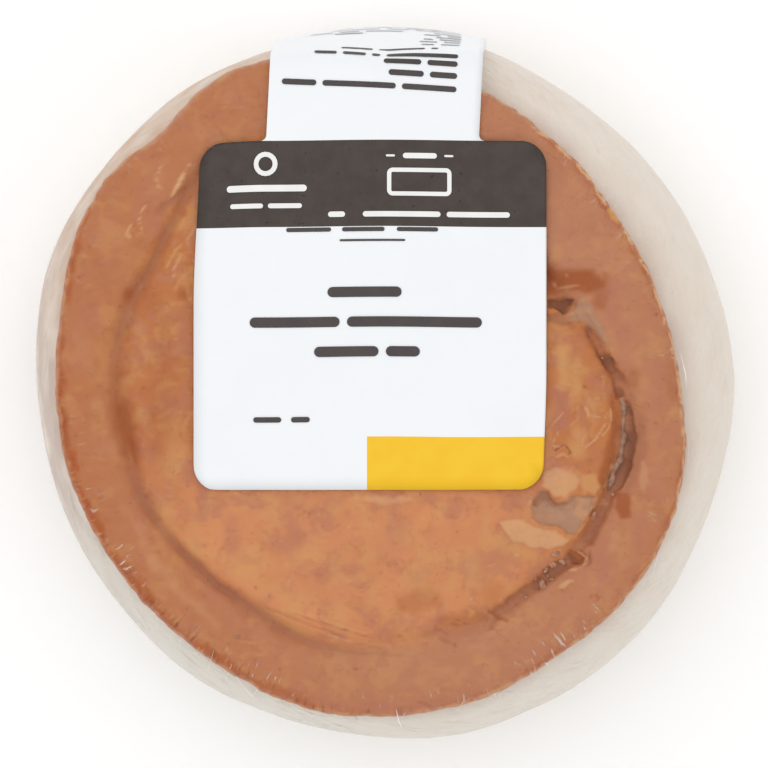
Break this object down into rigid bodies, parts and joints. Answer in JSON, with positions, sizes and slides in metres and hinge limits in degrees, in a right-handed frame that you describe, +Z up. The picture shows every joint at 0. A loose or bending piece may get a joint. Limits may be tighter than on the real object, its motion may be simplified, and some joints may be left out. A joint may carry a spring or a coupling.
{
  "type": "pork pie",
  "caption": "Large round hand-raised pork pie with a bowed pale side, a rolled browned rim, a low lid torn at one side, and a blank die-cut label laid over it.",
  "frame": {"origin": "centre of the flat base, at the bottom of the whole part's box", "axes": "+Z up through the lid, +Y towards the side that the label's strip runs down, +X to the right as the label is read"},
  "size_m": [0.1154, 0.1176, 0.0497],
  "materials": {
    "crust": "satin",
    "label": "satin"
  },
  "bodies": {
    "root": {"pie": "crust", "label": "label"}
  },
  "joints": []
}
